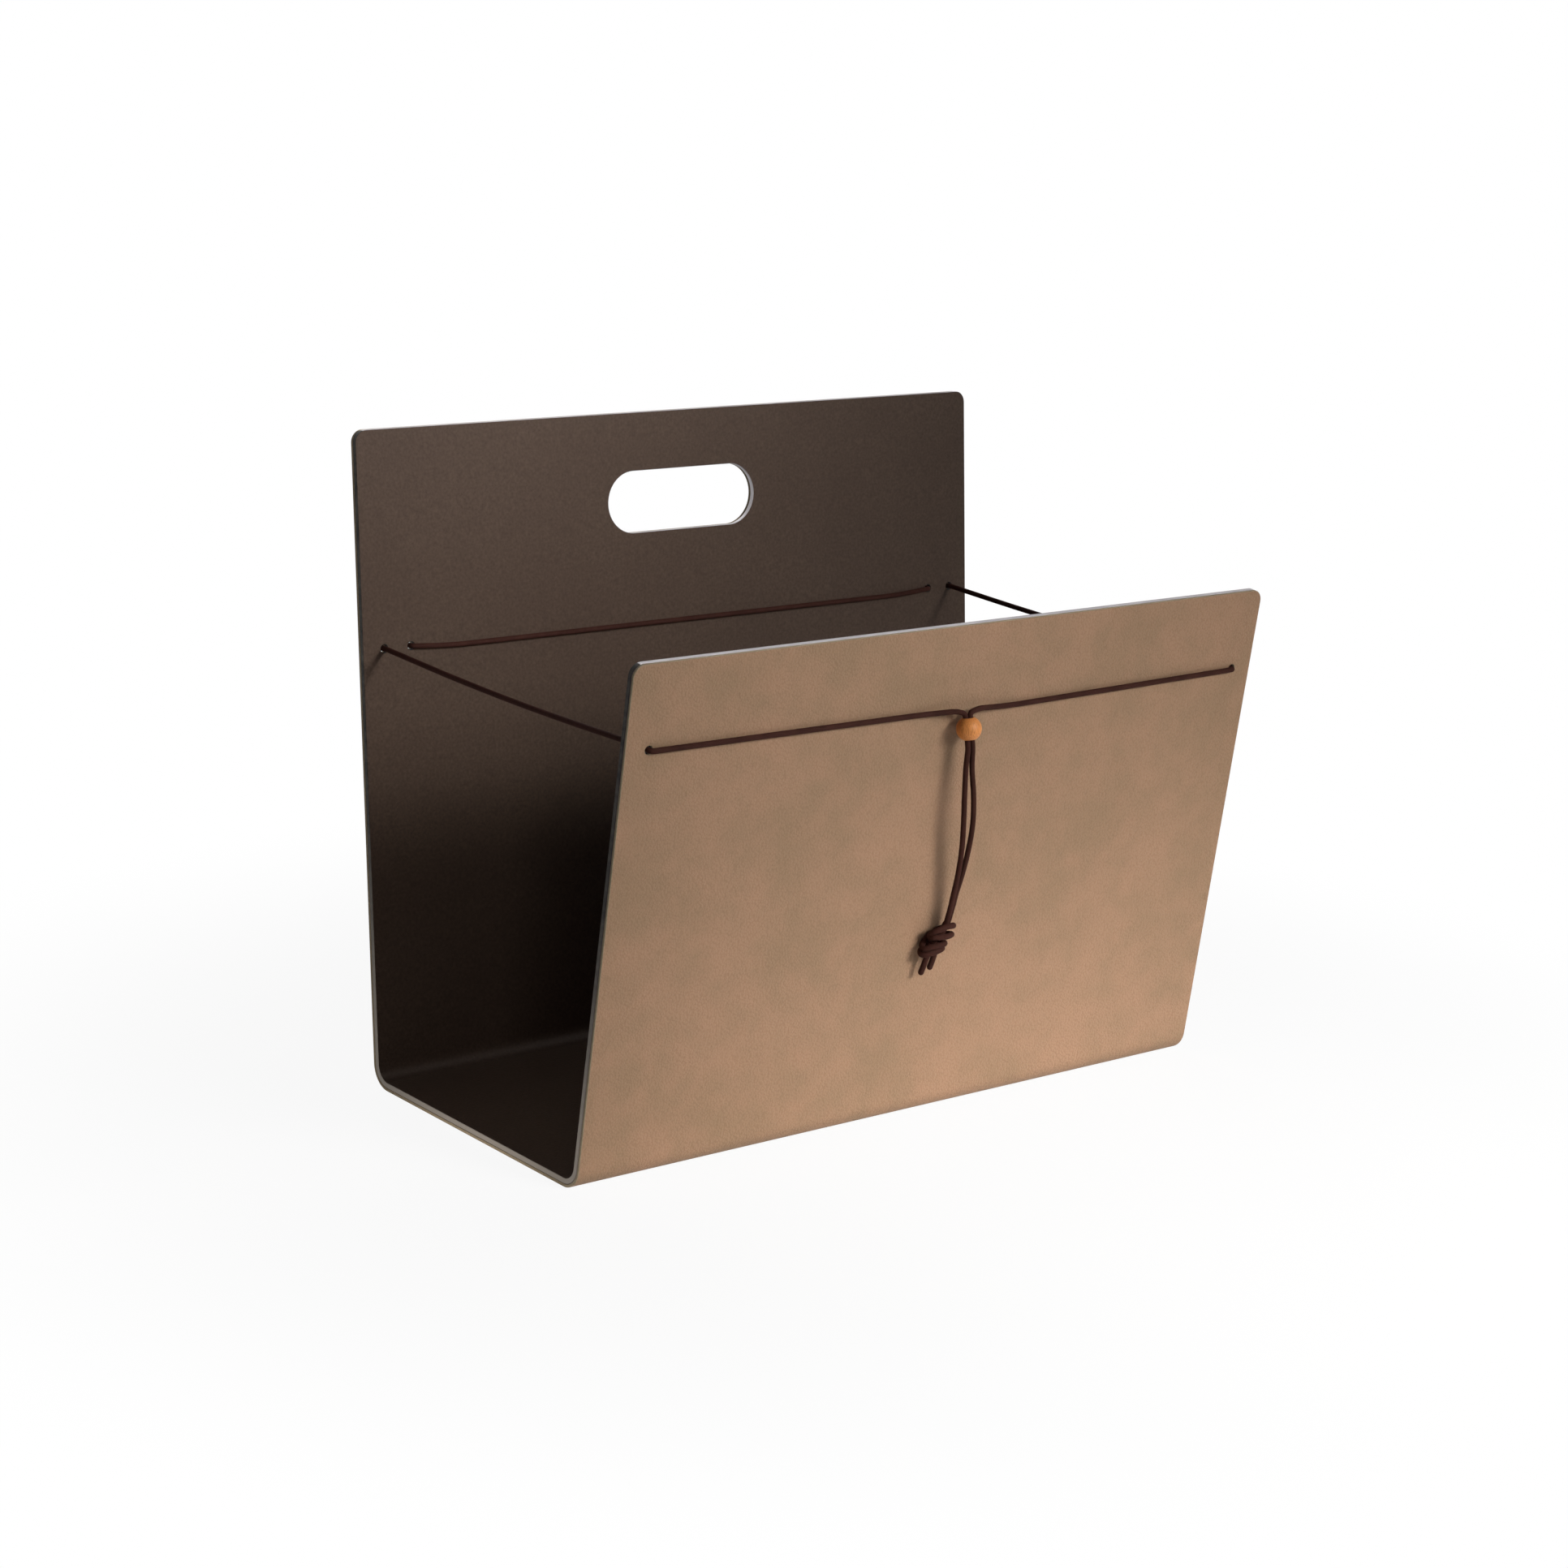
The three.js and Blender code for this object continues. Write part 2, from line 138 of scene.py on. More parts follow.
def folded_sheet(name, depth, thickness, inset, rim):
    # The outlines are filled, thickened and given a broken edge while the sheet is flat, then
    # it is cut across closely where it bends, and folded. A flat face's normal is at least
    # this steep.
    steep = 0.9
    past_corner = 1.5 * MM
    corner_steps = 10
    slot_steps = 64
    hole_steps = 32
    bend_cuts = 24
    bend_hold = 1.5 * MM
    cut_snap = 0.0001 * MM
    sharp_turn = math.radians(14)
    bm = bmesh.new()
    low = front.along(front.length) + inset
    high = back.along(back.length) - inset
    corners = bmesh.ops.create_grid(bm, x_segments=1, y_segments=1, size=0.5)["verts"]
    bmesh.ops.scale(bm, verts=corners, vec=(sheet_width - 2 * inset, high - low, 1))
    bmesh.ops.translate(bm, verts=corners, vec=(0, (low + high) / 2, 0))
    bmesh.ops.bevel(
        bm,
        geom=corners,
        offset=corner_radius - inset,
        offset_type="OFFSET",
        affect="VERTICES",
        segments=corner_steps,
        profile=0.5,
        material=-1,
    )
    bmesh.ops.delete(bm, geom=bm.faces[:], context="FACES_ONLY")

    slot_along = back.along(back.length - slot_drop)
    ring = bmesh.ops.create_circle(
        bm,
        segments=slot_steps,
        radius=slot_height / 2 + inset,
        matrix=Matrix.Rotation(math.pi / slot_steps, 4, "Z"),
    )["verts"]
    slot_reach = (slot_length - slot_height) / 2
    for hand in (-1, 1):
        half = [vert for vert in ring if vert.co.x * hand > 0]
        bmesh.ops.translate(bm, verts=half, vec=(hand * slot_reach, slot_along, 0))
    back_holes = back.along(back.length - back_hole_drop)
    front_holes = front.along(front.length - front_hole_drop)
    for hand in (-1, 1):
        for across, along in (
            (back_outer_hole, back_holes),
            (back_inner_hole, back_holes),
            (front_hole, front_holes),
        ):
            bmesh.ops.create_circle(
                bm,
                segments=hole_steps,
                radius=hole_radius + inset,
                matrix=Matrix.Translation((hand * across, along, 0)),
            )
    bmesh.ops.triangle_fill(bm, use_beauty=True, edges=bm.edges[:], normal=(0, 0, 1))

    bmesh.ops.solidify(bm, geom=bm.faces[:], thickness=thickness - 2 * rim)
    bmesh.ops.recalc_face_normals(bm, faces=bm.faces[:])
    for way in (-1, 1):
        flats = [face for face in bm.faces if face.normal.z * way > steep]
        bmesh.ops.inset_region(
            bm, faces=flats, use_boundary=True, use_even_offset=True, thickness=rim, depth=rim
        )
    lowest = min(vert.co.z for vert in bm.verts)
    bmesh.ops.translate(bm, verts=bm.verts[:], vec=(0, 0, depth - lowest))

    for panel in (back, front):
        bend = outer_bend_radius * panel.turn
        cuts = [base_half - bend_hold, base_half + bend + bend_hold]
        cuts += [base_half + bend * k / bend_cuts for k in range(bend_cuts + 1)]
        for cut in cuts:
            bmesh.ops.bisect_plane(
                bm,
                geom=bm.verts[:] + bm.edges[:] + bm.faces[:],
                dist=cut_snap,
                plane_co=(0, panel.side * cut, 0),
                plane_no=(0, 1, 0),
            )

    # The outer face has material 0, the inner face 1, the edges at the open ends and round the
    # holes 2, and the top edges and the rim of the slot 3.
    open_end = sheet_width / 2 - corner_radius + past_corner
    for face in bm.faces:
        middle = face.calc_center_median()
        if abs(face.normal.z) > steep:
            face.material_index = 1 if face.normal.z > 0 else 0
        else:
            # Painted light: the top edges and the slot's rim take the lit copy of the cut edge,
            # and the other cut edges take the copy with painted shade.
            at_top = min(high - middle.y, middle.y - low) < corner_radius
            lit_copy_reach = open_end if at_top else slot_length
            face.material_index = 3 if abs(middle.x) < lit_copy_reach else 2
    for vert in bm.verts:
        vert.co = fold(vert.co)
    mesh = bpy.data.meshes.new(name)
    bm.to_mesh(mesh)
    bm.free()
    mesh.shade_smooth()
    mesh.set_sharp_from_angle(angle=sharp_turn)
    piece = bpy.data.objects.new(name, mesh)
    scene.collection.objects.link(piece)
    return piece


def linear(colour):
    # sRGB hex to linear red, green, blue and alpha
    channels = [int(colour[k : k + 2], 16) / 255 for k in (0, 2, 4)]
    return [c / 12.92 if c <= 0.04045 else ((c + 0.055) / 1.055) ** 2.4 for c in channels] + [1]


def add_node(tree, kind, inputs=None, **settings):
    # Sockets go by name, or by number where a name repeats: a Mix of colours has its factor at 0
    # and its colours at 6 and 7, and gives its result at 2.
    made = tree.nodes.new(kind)
    for name, value in settings.items():
        setattr(made, name, value)
    for key, value in (inputs or {}).items():
        if isinstance(value, bpy.types.NodeSocket):
            tree.links.new(value, made.inputs[key])
        else:
            made.inputs[key].default_value = value
    return made


def node_tree(owner):
    # The node tree of a material or of the world, with nothing in it yet
    owner.use_nodes = True
    owner.node_tree.nodes.clear()
    return owner.node_tree


# Textured powder coating, dark brown: a fine orange peel breaks up its low gloss, and its tone
# wanders a little over the sheet. The real peel is about half a millimetre wide, too fine to
# show, so it is drawn coarser.
tone_width = 62.5 * MM
peel_width = 1.316 * MM
peel_height = 0.3 * MM
coating = bpy.data.materials.new("textured_powder_coating")
tree = node_tree(coating)
place = add_node(tree, "ShaderNodeTexCoord").outputs["Object"]
tone = add_node(
    tree,
    "ShaderNodeTexNoise",
    {"Vector": place, "Scale": 1 / tone_width, "Detail": 4, "Roughness": 0.6},
)
peel = add_node(
    tree,
    "ShaderNodeTexNoise",
    {"Vector": place, "Scale": 1 / peel_width, "Detail": 2, "Roughness": 0.45},
)
shade = add_node(
    tree,
    "ShaderNodeMix",
    {0: tone.outputs["Fac"], 6: linear("524138"), 7: linear("635145")},
    data_type="RGBA",
)
speckle = add_node(
    tree,
    "ShaderNodeMix",
    {0: peel.outputs["Fac"], 6: linear("3f332a"), 7: shade.outputs[2]},
    data_type="RGBA",
)
relief = add_node(
    tree,
    "ShaderNodeBump",
    {"Strength": 0.35, "Distance": peel_height, "Height": peel.outputs["Fac"]},
)
finish = add_node(
    tree,
    "ShaderNodeBsdfPrincipled",
    {
        "Base Color": speckle.outputs[2],
        "Roughness": 0.42,
        "Specular IOR Level": 0.1,
        "IOR": 1.5,
        "Normal": relief.outputs["Normal"],
    },
)
add_node(tree, "ShaderNodeOutputMaterial", {"Surface": finish.outputs["BSDF"]})

# Aluminium, sheared and deburred: silver grey and half dull. Along the top edges and round the
# slot it is the lit copy of the cut edge, beside a copy with painted shade at the open ends. Fine
# scratches blur what it reflects.
stain_width = 11.11 * MM
scratch_width = 1.11 * MM
scratch_depth = 0.1 * MM
aluminium_lit = bpy.data.materials.new("aluminium_lit_copy")
tree = node_tree(aluminium_lit)
place = add_node(tree, "ShaderNodeTexCoord").outputs["Object"]
dulled = add_node(
    tree,
    "ShaderNodeTexNoise",
    {"Vector": place, "Scale": 1 / stain_width, "Detail": 5, "Roughness": 0.6},
)
metal = add_node(
    tree,
    "ShaderNodeMix",
    {0: dulled.outputs["Fac"], 6: linear("8d888a"), 7: linear("b9b4b6")},
    data_type="RGBA",
)
scratches = add_node(
    tree,
    "ShaderNodeTexNoise",
    {"Vector": place, "Scale": 1 / scratch_width, "Detail": 3, "Roughness": 0.6},
)
relief = add_node(
    tree,
    "ShaderNodeBump",
    {"Strength": 0.3, "Distance": scratch_depth, "Height": scratches.outputs["Fac"]},
)
finish = add_node(
    tree,
    "ShaderNodeBsdfPrincipled",
    {
        "Base Color": metal.outputs[2],
        "Metallic": 0.75,
        "Roughness": 0.5,
        "Normal": relief.outputs["Normal"],
    },
)
add_node(tree, "ShaderNodeOutputMaterial", {"Surface": finish.outputs["BSDF"]})

# The same aluminium at the open ends and round the holes, as a copy with painted shade and painted
# reflection: nearly black toward the top, and lighter toward the base, where its grey metal colour
# shows, in random patches.
edge_patch_width = 7.14 * MM
edge_patch_depth = 0.1 * MM
edge_patchiness = 0.5
painted_shade_fades_below = 150 * MM
painted_shade_gone_below = 10 * MM
painted_light_at_base = 0.8
painted_shade_above = -0.18
aluminium_painted_shade = bpy.data.materials.new("aluminium_with_painted_shade")
tree = node_tree(aluminium_painted_shade)
place = add_node(tree, "ShaderNodeTexCoord").outputs["Object"]
edge_patches = add_node(
    tree,
    "ShaderNodeTexNoise",
    {"Vector": place, "Scale": 1 / edge_patch_width, "Detail": 5, "Roughness": 0.65},
)
rise = add_node(tree, "ShaderNodeSeparateXYZ", {0: place})
# Painted shade and reflection: the edge is darker the higher it stands, and lighter toward the
# base.
shade_by_height = add_node(
    tree,
    "ShaderNodeMapRange",
    {
        "Value": rise.outputs["Z"],
        "From Min": painted_shade_gone_below,
        "From Max": painted_shade_fades_below,
        "To Min": painted_light_at_base,
        "To Max": painted_shade_above,
    },
    interpolation_type="SMOOTHSTEP",
)
painted_lightness = add_node(
    tree,
    "ShaderNodeMath",
    {0: edge_patches.outputs["Fac"], 1: edge_patchiness, 2: shade_by_height.outputs["Result"]},
    operation="MULTIPLY_ADD",
    use_clamp=True,
)
dark = add_node(
    tree,
    "ShaderNodeMix",
    {0: painted_lightness.outputs["Value"], 6: linear("151110"), 7: linear("9c9389")},
    data_type="RGBA",
)
relief = add_node(
    tree,
    "ShaderNodeBump",
    {"Strength": 0.3, "Distance": edge_patch_depth, "Height": edge_patches.outputs["Fac"]},
)
finish = add_node(
    tree,
    "ShaderNodeBsdfPrincipled",
    {
        "Base Color": dark.outputs[2],
        "Metallic": 0.2,
        "Roughness": 0.6,
        "Specular IOR Level": 0.15,
        "Normal": relief.outputs["Normal"],
    },
)
add_node(tree, "ShaderNodeOutputMaterial", {"Surface": finish.outputs["BSDF"]})

folded_plate = folded_sheet(
    "folded_plate",
    depth=leather_thickness + glue_gap,
    thickness=plate_thickness,
    inset=0,
    rim=broken_edge,
)
# Slot 3, the top edges and slot rim, gets the lit copy of the aluminium, and slot 2, the open ends
# and holes, gets the copy with painted shade.
for material in (aluminium_lit, coating, aluminium_painted_shade, aluminium_lit):
    folded_plate.data.materials.append(material)
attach(folded_plate, "basket")
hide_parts("plate")


# Leather cover: one sheet of 1.4 mm bonded leather, tan, glued to the whole outer face and
# trimmed flush with the plate. Its cut edge shows the fibre.

# Bonded leather: pressed with a fine pebbled grain and dyed unevenly, so it is matt and softly
# mottled. It is darker in the valleys of the grain, which is painted shade.
cloud_width = 76.92 * MM
patch_width = 14.7 * MM
warp_width = 2.38 * MM
warp_reach = 1 * MM
pebble_width = 1.11 * MM
pore_width = 0.588 * MM
pore_share = 0.6
grain_depth = 0.35 * MM
darkest_mottle = 0.66
palest_mottle = 1.34
valley_start = 0.35
valley_middle = 0.85
valley_shade_share = 0.2
leather = bpy.data.materials.new("bonded_leather")
tree = node_tree(leather)
place = add_node(tree, "ShaderNodeTexCoord").outputs["Object"]
cloud = add_node(
    tree,
    "ShaderNodeTexNoise",
    {"Vector": place, "Scale": 1 / cloud_width, "Detail": 3, "Roughness": 0.5},
)
patch = add_node(
    tree,
    "ShaderNodeTexNoise",
    {"Vector": place, "Scale": 1 / patch_width, "Detail": 4, "Roughness": 0.55},
)
uneven = add_node(
    tree,
    "ShaderNodeMath",
    {0: cloud.outputs["Fac"], 1: patch.outputs["Fac"]},
    operation="ADD",
)
mottle = add_node(
    tree,
    "ShaderNodeMapRange",
    {
        "Value": uneven.outputs["Value"],
        "From Min": darkest_mottle,
        "From Max": palest_mottle,
    },
    interpolation_type="SMOOTHSTEP",
)
tan = add_node(
    tree,
    "ShaderNodeMix",
    {0: mottle.outputs["Result"], 6: linear("93775c"), 7: linear("a38065")},
    data_type="RGBA",
)
warp = add_node(
    tree,
    "ShaderNodeTexNoise",
    {"Vector": place, "Scale": 1 / warp_width, "Detail": 1, "Roughness": 0.5},
)
bent = add_node(
    tree,
    "ShaderNodeVectorMath",
    {0: warp.outputs["Color"], 1: (warp_reach, warp_reach, warp_reach), 2: place},
    operation="MULTIPLY_ADD",
)
pebbles = add_node(
    tree,
    "ShaderNodeTexVoronoi",
    {"Vector": bent.outputs["Vector"], "Scale": 1 / pebble_width, "Smoothness": 0.4},
    feature="SMOOTH_F1",
)
pores = add_node(
    tree,
    "ShaderNodeTexNoise",
    {"Vector": place, "Scale": 1 / pore_width, "Detail": 2, "Roughness": 0.6},
)
valley = add_node(
    tree,
    "ShaderNodeMapRange",
    {
        "Value": pebbles.outputs["Distance"],
        "From Min": valley_start,
        "From Max": valley_middle,
        "To Max": valley_shade_share,
    },
    interpolation_type="SMOOTHSTEP",
)
# Painted shade: the valleys of the grain are mixed toward a darker brown.
valley_shaded = add_node(
    tree,
    "ShaderNodeMix",
    {0: valley.outputs["Result"], 6: tan.outputs[2], 7: linear("74593f")},
    data_type="RGBA",
)
grain_height = add_node(
    tree,
    "ShaderNodeMath",
    {0: pores.outputs["Fac"], 1: -pore_share, 2: pebbles.outputs["Distance"]},
    operation="MULTIPLY_ADD",
)
relief = add_node(
    tree,
    "ShaderNodeBump",
    {"Strength": 0.8, "Distance": grain_depth, "Height": grain_height.outputs["Value"]},
    invert=True,
)
finish = add_node(
    tree,
    "ShaderNodeBsdfPrincipled",
    {
        "Base Color": valley_shaded.outputs[2],
        "Roughness": 0.66,
        "Specular IOR Level": 0.35,
        "IOR": 1.45,
        "Normal": relief.outputs["Normal"],
    },
)
add_node(tree, "ShaderNodeOutputMaterial", {"Surface": finish.outputs["BSDF"]})

# Bonded leather where it is cut: pressed fibre in layers, paler than the face and matt.
fleck_width = 0.909 * MM
fleck_depth = 0.15 * MM
fibre = bpy.data.materials.new("leather_cut_fibre")
tree = node_tree(fibre)
place = add_node(tree, "ShaderNodeTexCoord").outputs["Object"]
flecks = add_node(
    tree,
    "ShaderNodeTexNoise",
    {"Vector": place, "Scale": 1 / fleck_width, "Detail": 3, "Roughness": 0.7},
)
pale = add_node(
    tree,
    "ShaderNodeMix",
    {0: flecks.outputs["Fac"], 6: linear("8a7a63"), 7: linear("b8a78b")},
    data_type="RGBA",
)
relief = add_node(
    tree,
    "ShaderNodeBump",
    {"Strength": 0.5, "Distance": fleck_depth, "Height": flecks.outputs["Fac"]},
)
finish = add_node(
    tree,
    "ShaderNodeBsdfPrincipled",
    {
        "Base Color": pale.outputs[2],
        "Roughness": 0.85,
        "IOR": 1.4,
        "Normal": relief.outputs["Normal"],
    },
)
add_node(tree, "ShaderNodeOutputMaterial", {"Surface": finish.outputs["BSDF"]})

leather_sheet = folded_sheet(
    "leather_sheet", depth=0, thickness=leather_thickness, inset=0, rim=broken_edge
)
for material in (leather, fibre, fibre, fibre):
    leather_sheet.data.materials.append(material)
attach(leather_sheet, "basket")
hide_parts("leather_cover")


# Glue line: the contact adhesive between plate and leather, a film that lies just inside the
# cut edges. Dry contact adhesive is amber to dark brown and smooth, so it reads as a dark line.
squeeze_width = 2.5 * MM
adhesive = bpy.data.materials.new("contact_adhesive")
tree = node_tree(adhesive)
place = add_node(tree, "ShaderNodeTexCoord").outputs["Object"]
squeezed = add_node(
    tree,
    "ShaderNodeTexNoise",
    {"Vector": place, "Scale": 1 / squeeze_width, "Detail": 3, "Roughness": 0.6},
)
amber = add_node(
    tree,
    "ShaderNodeMix",
    {0: squeezed.outputs["Fac"], 6: linear("3d3029"), 7: linear("5b4a3c")},
    data_type="RGBA",
)
finish = add_node(
    tree,
    "ShaderNodeBsdfPrincipled",
    {"Base Color": amber.outputs[2], "Roughness": 0.55, "IOR": 1.5},
)
add_node(tree, "ShaderNodeOutputMaterial", {"Surface": finish.outputs["BSDF"]})

film_clearance = 0.02 * MM
film_inset = 0.3 * MM
glue_film = folded_sheet(
    "glue_film",
    depth=leather_thickness + film_clearance,
    thickness=glue_gap - 2 * film_clearance,
    inset=film_inset,
    rim=film_clearance,
)
for material in (adhesive, adhesive, adhesive, adhesive):
    glue_film.data.materials.append(material)
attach(glue_film, "basket")


# Bead: a turned beech bead, waxed, with one bore that both strands of the cord pass through.
# The strands hold it leaning in at the top.
cord_radius = 1.3 * MM
strand_spacing = 2.9 * MM
bead_radius = 6 * MM
bead_half = 5.1 * MM
bead_rim = 0.2 * MM
bore_play = 0.1 * MM
bead_off_centre = 0.2 * MM
bead_drop = 48 * MM
bead_stand_off = 7.6 * MM
bead_lean_left = math.radians(2)
bead_lean_in = math.radians(17)
bead_bore = strand_spacing / 2 + cord_radius + bore_play
bead_slope = front.length - bead_drop
bead_centre = front.beside(bead_off_centre, bead_slope, bead_stand_off)
bead_up = Vector((-math.tan(bead_lean_left), -front.sine, front.cosine))
bead_up += Vector((0, front.cosine, front.sine)) * math.tan(bead_lean_in)
bead_up.normalize()
bead_side = Vector((1, 0, 0)) - bead_up * bead_up.x
bead_side.normalize()
bead_stand = Matrix.Translation(bead_centre) @ bead_up.to_track_quat("Z", "Y").to_matrix().to_4x4()

# Its outline is an arc of an ellipse, which ends at the broken edge of the bore.
bm = bmesh.new()
mouth = bead_bore + bead_rim
bulge = bead_half / math.sqrt(1 - (mouth / bead_radius) ** 2)
end_angle = math.asin(bead_half / bulge)
arc_steps = 28
turn_steps = 64
seam_gap = 0.001 * MM
section = [(bead_bore, bead_rim - bead_half)]
for k in range(arc_steps + 1):
    angle = end_angle * (2 * k / arc_steps - 1)
    section.append((bead_radius * math.cos(angle), bulge * math.sin(angle)))
section.append((bead_bore, bead_half - bead_rim))
verts = [bm.verts.new((reach, 0, rise)) for reach, rise in section]
edges = [bm.edges.new(pair) for pair in zip(verts, verts[1:] + verts[:1])]
bmesh.ops.spin(
    bm,
    geom=verts + edges,
    cent=(0, 0, 0),
    axis=(0, 0, 1),
    angle=math.tau,
    steps=turn_steps,
    use_merge=True,
)
bmesh.ops.remove_doubles(bm, verts=bm.verts[:], dist=seam_gap)
bmesh.ops.recalc_face_normals(bm, faces=bm.faces[:])
bmesh.ops.transform(bm, verts=bm.verts[:], matrix=bead_stand)
mesh = bpy.data.meshes.new("wooden_bead")
bm.to_mesh(mesh)
bm.free()
mesh.shade_smooth()
rim_turn = math.radians(32)
mesh.set_sharp_from_angle(angle=rim_turn)
wooden_bead = bpy.data.objects.new("wooden_bead", mesh)
scene.collection.objects.link(wooden_bead)

# Beech, turned and waxed: honey brown, with short darker flecks along the grain, which runs
# along the bore.
grain_width = 0.3846 * MM
ring_width = 3.846 * MM
grain_stretch = 9
grain_relief = 0.1 * MM
flecks_below = 0.34
plain_above = 0.58
beech = bpy.data.materials.new("waxed_beech")
tree = node_tree(beech)
place = add_node(tree, "ShaderNodeTexCoord").outputs["Object"]
along_bore = add_node(
    tree,
    "ShaderNodeMapping",
    {
        "Vector": place,
        "Location": bead_centre,
        "Rotation": bead_stand.to_euler(),
        "Scale": (1, 1, grain_stretch),
    },
    vector_type="TEXTURE",
)
grain = add_node(
    tree,
    "ShaderNodeTexNoise",
    {
        "Vector": along_bore.outputs["Vector"],
        "Scale": 1 / grain_width,
        "Detail": 3,
        "Roughness": 0.5,
    },
)
rings = add_node(
    tree,
    "ShaderNodeTexNoise",
    {
        "Vector": along_bore.outputs["Vector"],
        "Scale": 1 / ring_width,
        "Detail": 2,
        "Roughness": 0.5,
    },
)
flecked = add_node(tree, "ShaderNodeValToRGB", {"Fac": grain.outputs["Fac"]})
flecked.color_ramp.elements[0].position = flecks_below
flecked.color_ramp.elements[0].color = linear("94491a")
flecked.color_ramp.elements[1].position = plain_above
flecked.color_ramp.elements[1].color = linear("e39a52")
honey = add_node(
    tree,
    "ShaderNodeMix",
    {0: rings.outputs["Fac"], 6: flecked.outputs["Color"], 7: linear("d0823f")},
    data_type="RGBA",
)
relief = add_node(
    tree,
    "ShaderNodeBump",
    {"Strength": 0.15, "Distance": grain_relief, "Height": grain.outputs["Fac"]},
)
finish = add_node(
    tree,
    "ShaderNodeBsdfPrincipled",
    {
        "Base Color": honey.outputs[2],
        "Roughness": 0.45,
        "Specular IOR Level": 0.35,
        "IOR": 1.5,
        "Normal": relief.outputs["Normal"],
    },
)
add_node(tree, "ShaderNodeOutputMaterial", {"Surface": finish.outputs["BSDF"]})
wooden_bead.data.materials.append(beech)
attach(wooden_bead, "bead")
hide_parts("bead")


# Lacing cord: one round leather cord, 2.6 mm thick. From the bead it runs to a hole at each
# side of the front, back along the side to the outer hole in the back, makes one stitch
# outside it, and comes in again by the inner hole to meet itself along the inner face.
def in_bore(hand, along):
    return bead_centre + bead_up * along + bead_side * (hand * strand_spacing / 2)


cord_gap = 0.3 * MM
run_out = cord_radius + cord_gap
inner_reach = 1.6 * MM
hole_turn = 2.2 * MM
bore_rise = 2.2 * MM
bore_ease = 2 * MM
shoulder_reach = 7 * MM
shoulder_rise = 8.4 * MM
shoulder_out = 5 * MM
shoulder_ease = 3.2 * MM
front_run_ease = 10 * MM
side_ease = 70 * MM
side_sag = 1.9 * MM
back_run_ease = 22 * MM
back_run_droop = 1.6 * MM


def lacing_stations(hand, lead, drop):
    # Each station is a corner of the route and how far from it the cord starts to turn.
    top = front.length - front_hole_drop
    level = back.length - back_hole_drop
    inside = -sheet_thickness - inner_reach
    front_inside = front.beside(hand * front_hole, top, inside)
    back_inside = back.beside(hand * back_outer_hole, level, inside)
    span = (front_inside - back_inside).length
    # The corner lies below the sag, because rounding it off lifts the strand again.
    sagging = (front_inside + back_inside) / 2
    sagging.z -= side_sag / (1 - side_ease / span)
    over_bead = bead_off_centre + hand * shoulder_reach
    shoulder = front.beside(over_bead, bead_slope + shoulder_rise, shoulder_out)
    run_inside = -sheet_thickness - run_out
    back_lead = hand * (back_inner_hole - back_run_ease)
    return [
        (in_bore(hand, -bead_half - cord_gap), 0),
        (in_bore(hand, bead_half + bore_rise), bore_ease),
        (shoulder, shoulder_ease),
        (front.beside(hand * lead, top - drop, run_out), front_run_ease),
        (front.beside(hand * front_hole, top, run_out), hole_turn),
        (front_inside, inner_reach),
        (sagging, side_ease),
        (back_inside, inner_reach),
        (back.beside(hand * back_outer_hole, level, run_out), hole_turn),
        (back.beside(hand * back_inner_hole, level, run_out), hole_turn),
        (back.beside(hand * back_inner_hole, level, run_inside), hole_turn),
        (back.beside(back_lead, level - back_run_droop, run_inside), back_run_ease / 2),
    ]


def new_cord(name, radius, resolution):
    data = bpy.data.curves.new(name, "CURVE")
    data.dimensions = "3D"
    data.bevel_depth = radius
    data.bevel_resolution = 5
    data.resolution_u = resolution
    data.use_fill_caps = True
    cord = bpy.data.objects.new(name, data)
    scene.collection.objects.link(cord)
    return cord


# How far from the middle the front run turns to the bead on each side, and how much lower it
# lies there than at its hole
left_lead = 22 * MM
left_drop = 0.8 * MM
right_lead = 28 * MM
right_drop = 2.2 * MM
stations = lacing_stations(-1, left_lead, left_drop)
stations += lacing_stations(1, right_lead, right_drop)[::-1]
places = [place for place, ease in stations]
# A handle this far toward a corner rounds it off as a quadratic curve does, and one this far
# along a straight stretch keeps its points even.
smooth_share = 2 / 3
even_share = 1 / 3
joints = [(places[0], None, None)]
for before, (corner, ease), after in zip(places, stations[1:-1], places[2:]):
    start = corner + (before - corner).normalized() * ease
    end = corner + (after - corner).normalized() * ease
    joints.append((start, None, start.lerp(corner, smooth_share)))
    joints.append((end, end.lerp(corner, smooth_share), None))
joints.append((places[-1], None, None))
lacing = new_cord("lacing", cord_radius, resolution=8)
route = lacing.data.splines.new("BEZIER")
route.bezier_points.add(len(joints) - 1)
ends = [joint[0] for joint in joints]
neighbours = zip(route.bezier_points, joints, ends[:1] + ends[:-1], ends[1:] + ends[-1:])
for point, (at, left, right), before, after in neighbours:
    point.handle_left_type = point.handle_right_type = "FREE"
    point.co = at
    point.handle_left = left or at.lerp(before, even_share)
    point.handle_right = right or at.lerp(after, even_share)

# Round leather cord, dyed dark brown and waxed: nearly matt, finely creased, and redder where
# the wax is thin.
worn_width = 8.33 * MM
crease_width = 0.667 * MM
crease_depth = 0.1 * MM
dyed_cord = bpy.data.materials.new("dyed_leather_cord")
tree = node_tree(dyed_cord)
place = add_node(tree, "ShaderNodeTexCoord").outputs["Object"]
worn = add_node(
    tree,
    "ShaderNodeTexNoise",
    {"Vector": place, "Scale": 1 / worn_width, "Detail": 4, "Roughness": 0.6},
)
creases = add_node(
    tree,
    "ShaderNodeTexNoise",
    {"Vector": place, "Scale": 1 / crease_width, "Detail": 3, "Roughness": 0.6},
)
brown = add_node(
    tree,
    "ShaderNodeMix",
    {0: worn.outputs["Fac"], 6: linear("2e1c18"), 7: linear("4a2e27")},
    data_type="RGBA",
)
